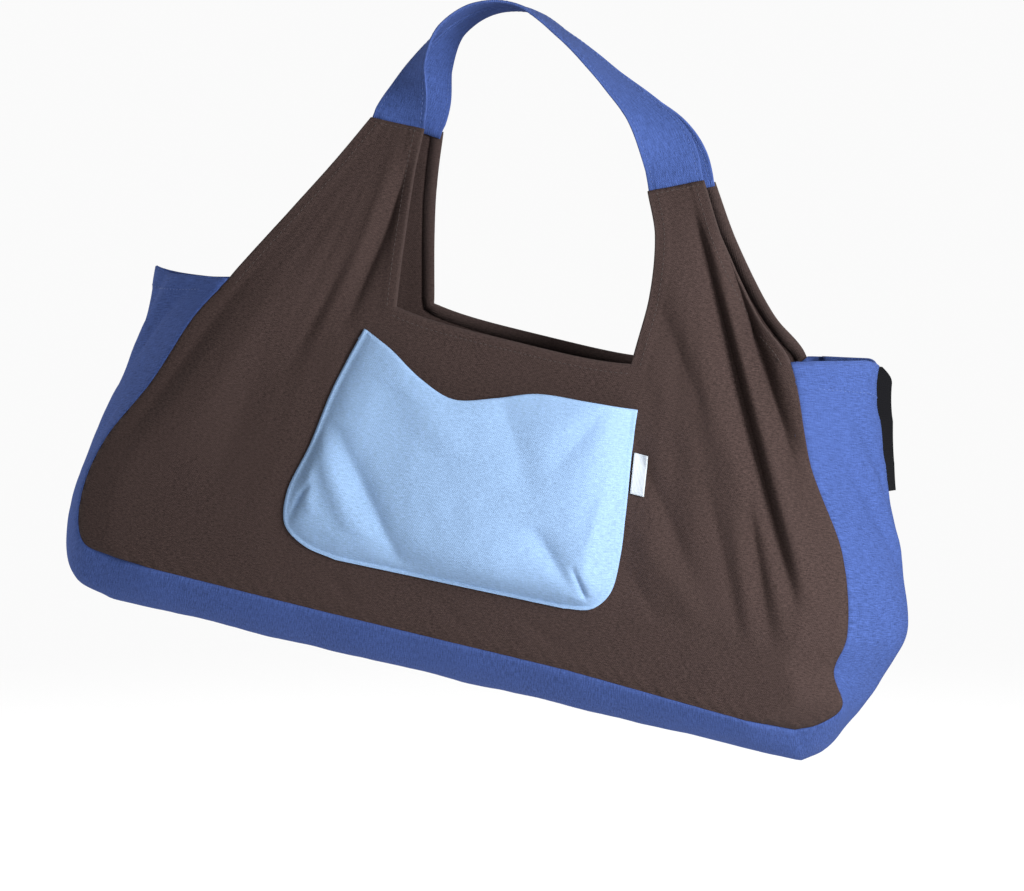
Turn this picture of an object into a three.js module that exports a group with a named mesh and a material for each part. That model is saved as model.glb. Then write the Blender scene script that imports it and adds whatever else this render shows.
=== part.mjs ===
// Yoga mat bag: two canvas panels joined by a gusset strip, a patch pocket and two shoulder straps.
// Millimetres. The bag is drawn level, +X along its length to the right, +Y to the back, +Z up from
// its base, and is then tilted and moved so that the underside of its straps rests on the origin.
import * as THREE from 'three';
import { ParametricGeometry } from 'three/addons/geometries/ParametricGeometry.js';
import { mergeGeometries, mergeVertices } from 'three/addons/utils/BufferGeometryUtils.js';

// Driving sizes: the wall of one layer of cloth, the gaps left at sewn edges and under what is laid
// on, the tilt the bag hangs at in degrees, and the place under the straps that it hangs from.
const CLOTH = 1.2;
const SEAM_GAP = 0.9;
const LAY_GAP = 0.5;
const HANG_TILT = 12.5;
const CROWN = { x: -62, z: 553.4 };

// The outline of a panel, a row for each step from the base to the arm tips: the seam or free edge on
// the left and right, and the ridge that the gusset beside it pushes out to.
const OUTLINE = [
  { step: 'base', left: [-290, 39], right: [284, 41], leftRidge: [-306, -8], rightRidge: [292, 4] },
  { step: 'corner', left: [-314, 43], right: [308, 49], leftRidge: [-337, 0], rightRidge: [316, 19] },
  { step: 'above corner', left: [-325, 60], right: [322, 72], leftRidge: [-353, 25], rightRidge: [330, 42] },
  { step: 'dent', left: [-326, 92], right: [314, 98], leftRidge: [-358, 64], rightRidge: [346, 80] },
  { step: 'widest', left: [-318, 136], right: [316, 125], leftRidge: [-352, 118], rightRidge: [357, 125] },
  { step: 'waist', left: [-293, 190], right: [298, 185], leftRidge: [-344, 166], rightRidge: [341, 178] },
  { step: 'shoulder', left: [-263, 252], right: [258, 248], leftRidge: [-334, 222], rightRidge: [313, 246] },
  { step: 'gusset top', left: [-242, 288], right: [219, 330], leftRidge: [-329, 278], rightRidge: [288, 338] },
  { step: 'lower arm', left: [-205, 357], right: [188, 352] },
  { step: 'upper arm', left: [-182, 400], right: [146, 404] },
  { step: 'arm tip', left: [-162, 441], right: [118, 449] },
];
const GUSSET_TOP = 7;

// The line from the base to a corner of the scooped mouth, then up the inner edge of an arm.
const MOUTH = [
  { step: 'base', left: [-104, 40], right: [104, 43] },
  { step: 'mouth corner', left: [-100, 296], right: [100, 294] },
  { step: 'lower arm', left: [-109, 352], right: [100, 352] },
  { step: 'upper arm', left: [-115, 400], right: [92, 398] },
  { step: 'arm tip', left: [-117, 441], right: [77, 431] },
];
const MOUTH_DIP = 5;

// How far each panel stands from the middle plane, by height.
const STANDOFF = [
  { z: 20, front: 80, back: 78 },
  { z: 110, front: 92, back: 84 },
  { z: 200, front: 87, back: 76 },
  { z: 290, front: 72, back: 62 },
  { z: 365, front: 52, back: 46 },
  { z: 445, front: 33, back: 33 },
];

// Where a panel turns back to the gusset: the reach in from the seam and the slope, fading with height.
const TURN = {
  left: { reach: 30, slope: 0.22 },
  right: { reach: 36, slope: 0.5 },
  soft: 6,
  fade: { from: 150, to: 290 },
};

// Folds, a row for each: upper and lower end, bow to the left at its middle, half width and rise.
const FRONT_FOLDS = [
  { fold: 'outer ridge', top: [146, 404], foot: [264, 186], bow: 4, half: 10, rise: 9 },
  { fold: 'main valley', top: [138, 392], foot: [278, 136], bow: 10, half: 9, rise: -12 },
  { fold: 'inner ridge', top: [114, 390], foot: [242, 128], bow: -5, half: 12, rise: 7 },
  { fold: 'inner valley', top: [101, 364], foot: [194, 202], bow: 0, half: 10, rise: -5 },
  { fold: 'mouth ridge', top: [96, 346], foot: [168, 226], bow: 0, half: 11, rise: 4 },
  { fold: 'low valley', top: [200, 234], foot: [240, 118], bow: 0, half: 9, rise: -5 },
  { fold: 'low ridge', top: [221, 224], foot: [254, 118], bow: 0, half: 8, rise: 4 },
  { fold: 'second low valley', top: [241, 208], foot: [268, 110], bow: 0, half: 8, rise: -4 },
  { fold: 'pocket side valley', top: [130, 240], foot: [190, 152], bow: 0, half: 11, rise: -3.5 },
  { fold: 'left seam valley', top: [-224, 302], foot: [-298, 136], bow: 0, half: 12, rise: -4 },
  { fold: 'left ridge', top: [-186, 346], foot: [-266, 126], bow: 0, half: 24, rise: 5 },
  { fold: 'left arm valley', top: [-124, 412], foot: [-150, 270], bow: -6, half: 14, rise: -5 },
];
const BACK_FOLDS = [
  { fold: 'right ridge', top: [128, 408], foot: [256, 126], bow: 0, half: 22, rise: 7 },
  { fold: 'right valley', top: [102, 396], foot: [206, 126], bow: 0, half: 20, rise: -6 },
  { fold: 'left ridge', top: [-150, 408], foot: [-256, 126], bow: 0, half: 24, rise: 6 },
  { fold: 'left valley', top: [-126, 396], foot: [-206, 126], bow: 0, half: 20, rise: -6 },
];

// The side edges of the pocket, a row for each step from its base to its mouth.
const POCKET = [
  { step: 'base', left: [-100, 86], right: [92, 93] },
  { step: 'corner', left: [-128, 91], right: [114, 98] },
  { step: 'above corner', left: [-147, 104], right: [126, 113] },
  { step: 'low side', left: [-151, 130], right: [128, 142] },
  { step: 'side', left: [-141, 172], right: [123, 189] },
  { step: 'high side', left: [-133, 222], right: [117, 229] },
  { step: 'mouth', left: [-120, 273], right: [114, 260] },
];
const POCKET_BULGE = 26;

// How far the lip of the pocket sags below the line between its two upper corners, by share of the way along.
const POCKET_LIP = [
  { share: 0, sag: 0 },
  { share: 0.12, sag: 9 },
  { share: 0.25, sag: 24 },
  { share: 0.38, sag: 32 },
  { share: 0.52, sag: 22 },
  { share: 0.66, sag: 9 },
  { share: 0.82, sag: 4 },
  { share: 1, sag: 0 },
];

// The middle line of the front strap, and the turn of its width from along the bag, 0, to across it, 90.
const STRAP = { width: 45, thick: 3 };
const STRAP_ROUTE = [
  { x: -139.5, y: -33, z: 441.6, turn: 0 },
  { x: -139.5, y: -32, z: 462, turn: 20 },
  { x: -132, y: -30, z: 494, turn: 64 },
  { x: -116, y: -27, z: 527, turn: 84 },
  { x: -93, y: -25, z: 548, turn: 90 },
  { x: -62, y: -25, z: 555, turn: 90 },
  { x: -20, y: -25, z: 539, turn: 84 },
  { x: 24, y: -26, z: 514, turn: 74 },
  { x: 56, y: -28, z: 494, turn: 58 },
  { x: 76, y: -31, z: 477, turn: 32 },
  { x: 89.2, y: -32, z: 458.9, turn: 10 },
  { x: 97.2, y: -33, z: 440.6, turn: 0 },
];

// The webbing strip beside the ridge of the right end: its foot is a share of the way up that end, its
// near edge a distance behind the ridge and clear of the cloth, and its width is turned out from straight
// back in degrees.
const END_STRAP = { width: 22, thick: 1.6, foot: 0.834, behindRidge: 13, clear: 1.2, topTurn: 28, footTurn: 18 };

// The label: the middle of its sewn edge, its size, and how that edge leans with the pocket's.
const LABEL = { x: 121.4, z: 211, width: 11.5, height: 32, thick: 1, lean: 0.15 };

const COLOURS = { brown: 0x4e403d, blue: 0x4a63a4, sky: 0x9fc4eb, black: 0x131318, white: 0xe2e8ee };

// How finely each piece is divided
const ROWS_PER_STEP = 3;
const PANEL_COLUMNS = {
  front: { left: 8, middle: 7, right: 16 },
  back: { left: 7, middle: 6, right: 7 },
};
const END_STEPS = GUSSET_TOP * ROWS_PER_STEP;
const BASE_STEPS = 20;
const GUSSET_STEPS = 2 * END_STEPS + BASE_STEPS;
const GUSSET_ACROSS = 8;

// Curves through the tables
const { clamp, degToRad, smoothstep } = THREE.MathUtils;
const place = ([x, z]) => new THREE.Vector3(x, 0, z);
const through = (rows, column) => new THREE.CatmullRomCurve3(rows.map((row) => place(row[column])));
const bothSides = (rows, left = 'left', right = 'right') => ({
  left: through(rows, left),
  right: through(rows, right),
});
const OUTER = bothSides(OUTLINE);
const ARM_INNER = bothSides(MOUTH.slice(1));
const RIDGE = bothSides(OUTLINE.slice(0, GUSSET_TOP + 1), 'leftRidge', 'rightRidge');
const POCKET_EDGE = bothSides(POCKET);
const MOUTH_STEP = GUSSET_TOP / (OUTLINE.length - 1);

// A smooth curve through one column of a table, read at a place along another.
function readTable(rows, column, along, at) {
  const last = rows.length - 1;
  const low = clamp(rows.findLastIndex((row) => row[along] <= at), 0, last - 1);
  const slope = (k) => {
    const below = rows[Math.max(0, k - 1)];
    const above = rows[Math.min(last, k + 1)];
    return (above[column] - below[column]) / (above[along] - below[along]);
  };
  const run = rows[low + 1][along] - rows[low][along];
  const t = clamp((at - rows[low][along]) / run, 0, 1);
  const ends = rows[low][column] * (1 + 2 * t) * (1 - t) ** 2 + rows[low + 1][column] * (3 - 2 * t) * t ** 2;
  return ends + run * (slope(low) * t * (1 - t) ** 2 - slope(low + 1) * t ** 2 * (1 - t));
}

// How far all the folds of a table stand out at a place on a panel.
function foldRise(folds, x, z) {
  let total = 0;
  for (const { top, foot, bow, half, rise } of folds) {
    const down = (top[1] - z) / (top[1] - foot[1]);
    if (down <= 0 || down >= 1) continue;
    const middle = top[0] + (foot[0] - top[0]) * down - bow * 4 * down * (1 - down);
    const steepness = Math.cos(Math.atan2(foot[0] - top[0], top[1] - foot[1]));
    const across = (x - middle) * steepness / half;
    total += rise * Math.sin(Math.PI * down) ** 0.7 * Math.exp(-(across ** 2));
  }
  return total;
}

// A panel's distance from the middle plane: its standoff, less its turn at the seams, plus its folds.
function panelDepth(side, x, z, fromLeft, fromRight) {
  const fade = 1 - smoothstep(z, TURN.fade.from, TURN.fade.to);
  const turned = ({ reach, slope }, distance) => {
    const past = reach - distance;
    return 0.5 * slope * fade * (past + Math.hypot(past, TURN.soft));
  };
  const folds = foldRise(side === 'front' ? FRONT_FOLDS : BACK_FOLDS, x, z);
  const standoff = readTable(STANDOFF, side, 'z', z);
  return standoff - turned(TURN.left, fromLeft) - turned(TURN.right, fromRight) + folds;
}

// The line that splits a flank of a panel from its middle, and above the mouth is the arm's inner edge.
function innerEdge(end, v) {
  if (v >= MOUTH_STEP) return ARM_INNER[end].getPoint((v - MOUTH_STEP) / (1 - MOUTH_STEP));
  const [low, now, high] = [0, v, MOUTH_STEP].map((share) => OUTER[end].getPoint(share).z);
  return place(MOUTH[0][end]).lerp(place(MOUTH[1][end]), (now - low) / (high - low));
}

// A point of a panel, in its left flank, its middle or its right flank, u across and v up that part.
function panelPoint(side, part, u, v, target) {
  const [left, right] = [OUTER.left.getPoint(v), OUTER.right.getPoint(v)];
  const [innerLeft, innerRight] = [innerEdge('left', v), innerEdge('right', v)];
  if (part === 'left') target.lerpVectors(left, innerLeft, u);
  if (part === 'right') target.lerpVectors(innerRight, right, u);
  if (part === 'middle') {
    target.lerpVectors(innerLeft, innerRight, u);
    target.z -= MOUTH_DIP * (v / MOUTH_STEP) ** 3 * (1 - (2 * u - 1) ** 4);
  }
  const depth = panelDepth(side, target.x, target.z, target.x - left.x, right.x - target.x);
  return target.setY(side === 'front' ? -depth : depth);
}

// The middle of the front panel's wall, away from its seams, for what is sewn on there.
function frontFace(x, z) {
  const row = OUTLINE[3];
  return -panelDepth('front', x, z, x - row.left[0], row.right[0] - x);
}

// A closed wall of one thickness from open patches, welded where their edges meet.
function wall(patches, thickness) {
  for (const patch of patches) {
    patch.deleteAttribute('normal');
    patch.deleteAttribute('uv');
  }
  const skin = mergeVertices(mergeGeometries(patches), 1e-3);
  skin.computeVertexNormals();
  const { position, normal } = skin.attributes;
  const count = position.count;
  const [spot, out] = [new THREE.Vector3(), new THREE.Vector3()];
  const vertices = [];
  for (const way of [0.5, -0.5]) {
    for (let k = 0; k < count; k++) {
      out.fromBufferAttribute(normal, k);
      spot.fromBufferAttribute(position, k).addScaledVector(out, way * thickness);
      vertices.push(spot.x, spot.y, spot.z);
    }
  }
  const triangles = [];
  const rim = new Map();
  const corners = skin.index.array;
  for (let k = 0; k < corners.length; k += 3) {
    const [a, b, c] = corners.slice(k, k + 3);
    triangles.push(a, b, c, count + c, count + b, count + a);
    for (const [from, to] of [[a, b], [b, c], [c, a]]) {
      if (!rim.delete(`${to} ${from}`)) rim.set(`${from} ${to}`, [from, to]);
    }
  }
  for (const [from, to] of rim.values()) {
    triangles.push(to, from, count + from, to, count + from, count + to);
  }
  const solid = new THREE.BufferGeometry();
  solid.setAttribute('position', new THREE.Float32BufferAttribute(vertices, 3));
  solid.setIndex(triangles);
  solid.computeVertexNormals();
  return solid;
}

// A panel: two flanks that run up into the arms, and the middle up to the mouth.
function panel(side) {
  const patch = (part, height) => {
    const across = (u) => (side === 'front' ? u : 1 - u);
    const shape = (u, v, target) => panelPoint(side, part, across(u), v * height, target);
    const rows = Math.round((OUTLINE.length - 1) * ROWS_PER_STEP * height);
    return new ParametricGeometry(shape, PANEL_COLUMNS[side][part], rows);
  };
  return wall([patch('left', 1), patch('middle', MOUTH_STEP), patch('right', 1)], CLOTH);
}

// The two seams and the ridge at a step along the gusset: down the left end, along the base, up the right.
function gussetLines(step) {
  const onBase = clamp((step - END_STEPS) / BASE_STEPS, 0, 1);
  const end = onBase < 0.5 ? 'left' : 'right';
  const up = Math.max(0, END_STEPS - step, step - END_STEPS - BASE_STEPS) / END_STEPS;
  const seam = (side) => {
    if (up > 0) return panelPoint(side, end, end === 'left' ? 0 : 1, up * MOUTH_STEP, new THREE.Vector3());
    const spot = place(OUTLINE[0].left).lerp(place(OUTLINE[0].right), onBase);
    const [fromLeft, fromRight] = [spot.x - OUTLINE[0].left[0], OUTLINE[0].right[0] - spot.x];
    const depth = panelDepth(side, spot.x, spot.z, fromLeft, fromRight);
    return spot.setY(side === 'front' ? -depth : depth);
  };
  const ridge = up > 0 ? RIDGE[end].getPoint(up) : RIDGE.left.getPoint(0).lerp(RIDGE.right.getPoint(0), onBase);
  return { front: seam('front'), back: seam('back'), ridge, roundness: 1.6 + 0.6 * (1 - up) ** 3 };
}

// A point of the gusset, by its step and by its share across from the front seam, -1, to the back, 1.
function gussetPoint(step, across, target) {
  const { front, back, ridge, roundness } = gussetLines(step);
  const push = ridge.sub(front.clone().add(back).multiplyScalar(0.5));
  target.lerpVectors(front, back, (1 + across) / 2);
  return target.addScaledVector(push, 1 - Math.abs(across) ** roundness);
}

function gusset() {
  const halfWidth = 100;
  const reach = 1 - SEAM_GAP / halfWidth;
  const shape = (u, v, target) => gussetPoint(u * GUSSET_STEPS, (2 * v - 1) * reach, target);
  return wall([new ParametricGeometry(shape, GUSSET_STEPS, GUSSET_ACROSS)], CLOTH);
}

// The pocket lies on the panel along its three sewn edges and bulges between them.
function frontPocket() {
  const shape = (u, v, target) => {
    target.lerpVectors(POCKET_EDGE.left.getPoint(v), POCKET_EDGE.right.getPoint(v), u);
    target.z -= readTable(POCKET_LIP, 'sag', 'share', u) * v ** 4;
    const acrossRound = 1 - Math.abs(2 * u - 1) ** 2.4;
    const upRound = (1 - (1 - v) ** 2.4) * (1 - 0.4 * v ** 3);
    const bulge = POCKET_BULGE * acrossRound * upRound;
    return target.setY(frontFace(target.x, target.z) - CLOTH - LAY_GAP - bulge);
  };
  return wall([new ParametricGeometry(shape, 18, 14)], CLOTH);
}

// A strap is a ribbon along the route, and the back one is its mirror image.
function strap(side) {
  const way = side === 'front' ? 1 : -1;
  const route = new THREE.CatmullRomCurve3(STRAP_ROUTE.map(({ x, y, z }) => new THREE.Vector3(x, y, z)));
  const turns = new THREE.CatmullRomCurve3(STRAP_ROUTE.map(({ turn }) => new THREE.Vector3(turn, 0, 0)));
  const shape = (u, v, target) => {
    const turn = degToRad(turns.getPoint(u).x);
    const heading = route.getTangent(u);
    const outward = new THREE.Vector3(-heading.z, 0, heading.x).normalize();
    const fromMiddle = way * STRAP.width * (v - 0.5);
    route.getPoint(u, target).addScaledVector(outward, fromMiddle * Math.cos(turn));
    return target.setY(way * (target.y + fromMiddle * Math.sin(turn)));
  };
  return wall([new ParametricGeometry(shape, 44, 2)], STRAP.thick);
}

// The webbing strip hangs from the rim of the right end, clear of the gusset and turned a little out from it.
function endStrap() {
  const { width, thick, foot, behindRidge, clear, topTurn, footTurn } = END_STRAP;
  const rim = 0.995;
  const halfDepth = 75;
  const shape = (u, v, target) => {
    const turn = degToRad(topTurn + (footTurn - topTurn) * v);
    const share = rim + v * (foot - rim);
    gussetPoint(END_STEPS + BASE_STEPS + END_STEPS * share, behindRidge / halfDepth, target);
    target.x += clear + u * width * Math.sin(turn);
    return target.setY(target.y + u * width * Math.cos(turn));
  };
  return wall([new ParametricGeometry(shape, 2, 12)], thick);
}

// The plain label sewn in at the right edge of the pocket.
function label() {
  const shape = (u, v, target) => {
    const z = LABEL.z + (v - 0.5) * LABEL.height;
    const x = LABEL.x - LABEL.lean * (z - LABEL.z) + u * LABEL.width;
    return target.set(x, frontFace(x, z) - (CLOTH + LABEL.thick) / 2 - LAY_GAP, z);
  };
  return wall([new ParametricGeometry(shape, 3, 4)], LABEL.thick);
}

function piece(name, geometry, colour, roughness) {
  const mesh = new THREE.Mesh(geometry, new THREE.MeshStandardMaterial({ color: colour, roughness, metalness: 0 }));
  mesh.name = name;
  return mesh;
}

// The assembly, drawn level and then hung
const level = new THREE.Group();
level.name = 'level';
level.add(piece('front_panel', panel('front'), COLOURS.brown, 0.92));
level.add(piece('back_panel', panel('back'), COLOURS.brown, 0.92));
level.add(piece('gusset', gusset(), COLOURS.blue, 0.9));
level.add(piece('front_pocket', frontPocket(), COLOURS.sky, 0.9));
level.add(piece('strap_front', strap('front'), COLOURS.blue, 0.88));
level.add(piece('strap_back', strap('back'), COLOURS.blue, 0.88));
level.add(piece('end_strap', endStrap(), COLOURS.black, 0.75));
level.add(piece('label', label(), COLOURS.white, 0.85));
level.rotation.y = degToRad(HANG_TILT);
level.position.set(-CROWN.x, 0, -CROWN.z).applyEuler(level.rotation);

const bag = new THREE.Group();
bag.name = 'yoga_mat_bag';
bag.add(level);

export default bag;
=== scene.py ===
# %% [markdown]
# # A canvas yoga mat bag
# The bag is sewn from two brown canvas panels, a blue gusset strip between them, a light blue patch
# pocket and two blue shoulder straps. It hangs by the crown of its straps. The solids of the frame give
# each piece its place and size, and this lesson dresses them: finer cloth, hems, seams, stitches and weave.

# %% The frame
import math
from collections import namedtuple
from functools import lru_cache

import bmesh
import bpy
from mathutils import Matrix, Vector, noise
from mathutils.bvhtree import BVHTree
from mathutils.kdtree import KDTree


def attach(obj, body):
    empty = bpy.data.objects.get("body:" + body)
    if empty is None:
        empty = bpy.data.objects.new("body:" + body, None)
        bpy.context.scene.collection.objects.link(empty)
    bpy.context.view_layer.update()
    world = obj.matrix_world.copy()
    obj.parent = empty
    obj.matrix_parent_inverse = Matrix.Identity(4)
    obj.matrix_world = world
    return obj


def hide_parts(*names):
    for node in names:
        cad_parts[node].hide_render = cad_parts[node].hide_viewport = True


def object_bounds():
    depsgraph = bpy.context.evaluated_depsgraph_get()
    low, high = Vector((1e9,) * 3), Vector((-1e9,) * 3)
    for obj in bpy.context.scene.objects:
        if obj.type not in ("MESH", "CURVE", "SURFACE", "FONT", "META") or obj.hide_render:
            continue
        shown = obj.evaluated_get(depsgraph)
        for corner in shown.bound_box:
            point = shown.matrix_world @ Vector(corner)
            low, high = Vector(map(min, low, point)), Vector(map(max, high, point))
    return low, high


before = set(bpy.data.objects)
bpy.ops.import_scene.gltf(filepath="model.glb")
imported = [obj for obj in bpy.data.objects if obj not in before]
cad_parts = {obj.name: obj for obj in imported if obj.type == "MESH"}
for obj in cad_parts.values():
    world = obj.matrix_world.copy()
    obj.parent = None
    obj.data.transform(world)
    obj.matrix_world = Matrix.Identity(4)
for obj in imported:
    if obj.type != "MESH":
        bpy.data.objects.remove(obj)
cad_low, cad_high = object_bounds()
print("solids", sorted(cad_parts))

# %% [markdown]
# ## The camera
# A long lens from a little above and to the right of the bag keeps its sides nearly parallel. The camera
# could be keyed by hand, but an aim, two angles and a distance are easier to read and to change.

# %% Camera
AIM = Vector((-0.0111, 0, -0.3595))
AZIMUTH = math.radians(12)
ELEVATION = math.radians(4)
DISTANCE = 2.4
LENS = 101.25


def towards(azimuth, elevation):
    """The direction from the bag to a place round it."""
    flat = math.cos(elevation)
    return Vector((math.sin(azimuth) * flat, -math.cos(azimuth) * flat, math.sin(elevation)))


def add_object(name, data):
    """A new object at the origin, in the scene."""
    made = bpy.data.objects.new(name, data)
    bpy.context.scene.collection.objects.link(made)
    return made


camera = add_object("camera", bpy.data.cameras.new("camera"))
camera.data.sensor_fit = "HORIZONTAL"
camera.data.lens = LENS
camera.location = AIM + DISTANCE * towards(AZIMUTH, ELEVATION)
camera.rotation_euler = towards(AZIMUTH, ELEVATION).to_track_quat("Z", "Y").to_euler()
bpy.context.scene.camera = camera
print("camera at", [round(x, 3) for x in camera.location])

# %% [markdown]
# ## Light and floor
# A soft key lamp stands to the front right and near the bag, so the right end is brighter than the left.
# Weaker lamps in front, behind and at the left end open the shadows and edge the cloth with light. The sky
# gives a weak fill, and looks white to the camera alone. The floor is a pale disc that fades out with its
# radius, so that no horizon cuts through the picture.

# %% Light
Lamp = namedtuple("Lamp", "name azimuth elevation distance size watts")
LAMPS = [
    Lamp("key", 53, 12, 1.5, 0.5, 26),
    Lamp("front", 30, 6, 2.4, 1.0, 15),
    Lamp("rim", 160, 40, 2.4, 1.2, 20),
    Lamp("left end", -100, 12, 2.2, 1.0, 25),
]
for lamp in LAMPS:
    light = bpy.data.lights.new(lamp.name, "AREA")
    light.size = lamp.size
    light.energy = lamp.watts
    direction = towards(math.radians(lamp.azimuth), math.radians(lamp.elevation))
    holder = add_object(lamp.name, light)
    holder.location = AIM + lamp.distance * direction
    holder.rotation_euler = direction.to_track_quat("Z", "Y").to_euler()
bpy.context.scene.view_settings.view_transform = "Standard"
print("lamps", [lamp.name for lamp in LAMPS])


# %% Sky
def add_node(tree, kind, **settings):
    """A node of a kind: plain settings are its properties, and inputs is a dict of its socket values."""
    made = tree.nodes.new("ShaderNode" + kind)
    inputs = settings.pop("inputs", {})
    for name, value in settings.items():
        setattr(made, name, value)
    for socket, value in inputs.items():
        made.inputs[socket].default_value = value
    return made


def join(tree, *pairs):
    """Links outputs to inputs, given as pairs of sockets."""
    for source, goal in pairs:
        tree.links.new(source, goal)


WHITE = (1, 1, 1, 1)
FILL_STRENGTH = 0.22
SEEN_STRENGTH = 0.96
sky = bpy.data.worlds.new("sky")
sky.use_nodes = True
tree = sky.node_tree
tree.nodes.clear()
sky_out = add_node(tree, "OutputWorld")
sky_mix = add_node(tree, "MixShader")
sky_ray = add_node(tree, "LightPath")
for socket, strength in ((1, FILL_STRENGTH), (2, SEEN_STRENGTH)):
    glow = add_node(tree, "Background", inputs={"Color": WHITE, "Strength": strength})
    join(tree, (glow.outputs[0], sky_mix.inputs[socket]))
join(
    tree,
    (sky_ray.outputs["Is Camera Ray"], sky_mix.inputs[0]),
    (sky_mix.outputs[0], sky_out.inputs["Surface"]),
)
bpy.context.scene.world = sky
print("sky", FILL_STRENGTH, SEEN_STRENGTH)

# %% Floor
FLOOR_DROP = 0.16
FLOOR_RADIUS = 4.0
FLOOR_GLOW = 0.5
FLOOR_PALE = (0.9, 0.9, 0.9, 1)
FLOOR_FADE = {"From Min": 0.2, "From Max": 1.9, "To Min": 0.35}
floor_at = Vector((AIM.x, 0, cad_low.z - FLOOR_DROP))
bm = bmesh.new()
bmesh.ops.create_circle(bm, cap_ends=True, segments=96, radius=FLOOR_RADIUS)
bmesh.ops.translate(bm, verts=bm.verts, vec=floor_at)
floor_mesh = bpy.data.meshes.new("floor")
bm.to_mesh(floor_mesh)
bm.free()
floor = add_object("floor", floor_mesh)
pale = bpy.data.materials.new("pale floor")
pale.use_nodes = True
tree = pale.node_tree
tree.nodes.clear()
matt = add_node(tree, "BsdfPrincipled", inputs={
    "Base Color": FLOOR_PALE,
    "Roughness": 0.9,
    "Emission Color": WHITE,
    "Emission Strength": FLOOR_GLOW,
})
clear = add_node(tree, "BsdfTransparent")
blend = add_node(tree, "MixShader")
coords = add_node(tree, "TexCoord")
length = add_node(tree, "VectorMath", operation="DISTANCE", inputs={1: floor_at})
fade = add_node(tree, "MapRange", interpolation_type="SMOOTHSTEP", inputs=FLOOR_FADE)
out = add_node(tree, "OutputMaterial")
join(
    tree,
    (coords.outputs["Object"], length.inputs[0]),
    (length.outputs["Value"], fade.inputs[0]),
    (fade.outputs[0], blend.inputs[0]),
    (matt.outputs[0], blend.inputs[1]),
    (clear.outputs[0], blend.inputs[2]),
    (blend.outputs[0], out.inputs["Surface"]),
)
floor_mesh.materials.append(pale)
print("floor at", round(floor_at.z, 3))


# %% [markdown]
# ## The canvas
# Plain canvas has warp and weft threads that cross over and under. Up close they make a fine chequer, and
# from further off the thick places in the threads, the slubs, show as short streaks both ways. One node
# group makes both from a map of the cloth in metres, so the pattern keeps its scale on every piece.

# %% Weave group
def math_node(tree, operation, first, second=None):
    """A Math node fed by sockets or plain numbers. Returns its output."""
    made = add_node(tree, "Math", operation=operation)
    for socket, value in zip(made.inputs, (first, second)):
        if isinstance(value, (int, float)):
            socket.default_value = value
        elif value is not None:
            tree.links.new(value, socket)
    return made.outputs[0]


WEFT_WEIGHT = 1.15
WARP_WEIGHT = 0.5
GRAIN_WEIGHT = 0.35
CHEQUER_WEIGHT = 0.3


def weave_group():
    """Height, tone and a slow fade of plain woven cloth, from its place on the cloth in metres."""
    group = bpy.data.node_groups.new("canvas weave", "ShaderNodeTree")
    for name, way, kind in (
        ("Place", "INPUT", "Vector"),
        ("Thread", "INPUT", "Float"),
        ("Slub length", "INPUT", "Float"),
        ("Height", "OUTPUT", "Float"),
        ("Tone", "OUTPUT", "Float"),
        ("Fade", "OUTPUT", "Float"),
    ):
        group.interface.new_socket(name=name, in_out=way, socket_type="NodeSocket" + kind)
    given = group.nodes.new("NodeGroupInput")
    result = group.nodes.new("NodeGroupOutput")
    millimetres = add_node(group, "VectorMath", operation="SCALE", inputs={"Scale": 1000})
    parts = add_node(group, "SeparateXYZ")
    join(group, (given.outputs["Place"], millimetres.inputs[0]), (millimetres.outputs[0], parts.inputs[0]))
    waves = []
    for axis in (0, 1):
        turns = math_node(group, "DIVIDE", parts.outputs[axis], given.outputs["Thread"])
        waves.append(math_node(group, "SINE", math_node(group, "MULTIPLY", turns, math.pi)))
    chequer = math_node(group, "MULTIPLY", *waves)
    streaks = []
    for axis in (0, 1):
        along = math_node(group, "DIVIDE", parts.outputs[axis], given.outputs["Slub length"])
        across = math_node(group, "DIVIDE", parts.outputs[1 - axis], given.outputs["Thread"])
        spot = add_node(group, "CombineXYZ", inputs={"Z": 7.0 * axis})
        cloud = add_node(group, "TexNoise", inputs={"Scale": 1.0, "Detail": 3.0, "Roughness": 0.65})
        join(
            group,
            (along, spot.inputs[0]),
            (across, spot.inputs[1]),
            (spot.outputs[0], cloud.inputs["Vector"]),
        )
        streaks.append(cloud.outputs[0])
    grain = add_node(group, "TexNoise", inputs={"Scale": 0.75, "Detail": 1.0})
    weft = math_node(group, "MULTIPLY", streaks[0], WEFT_WEIGHT)
    warp = math_node(group, "MULTIPLY", streaks[1], WARP_WEIGHT)
    specks = math_node(group, "MULTIPLY", grain.outputs[0], GRAIN_WEIGHT)
    both = math_node(group, "ADD", math_node(group, "ADD", weft, warp), specks)
    tone = add_node(group, "MapRange", inputs={1: 0.72, 2: 1.28})
    slow = add_node(group, "TexNoise", inputs={"Scale": 0.011, "Detail": 2.0})
    fade = add_node(group, "MapRange", inputs={1: 0.3, 2: 0.7})
    relief = math_node(group, "ADD", math_node(group, "MULTIPLY", chequer, CHEQUER_WEIGHT), both)
    join(
        group,
        (both, tone.inputs[0]),
        (millimetres.outputs[0], grain.inputs["Vector"]),
        (millimetres.outputs[0], slow.inputs["Vector"]),
        (slow.outputs[0], fade.inputs[0]),
        (relief, result.inputs["Height"]),
        (tone.outputs[0], result.inputs["Tone"]),
        (fade.outputs[0], result.inputs["Fade"]),
    )
    return group


WEAVE = weave_group()
print("group", WEAVE.name)


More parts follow.
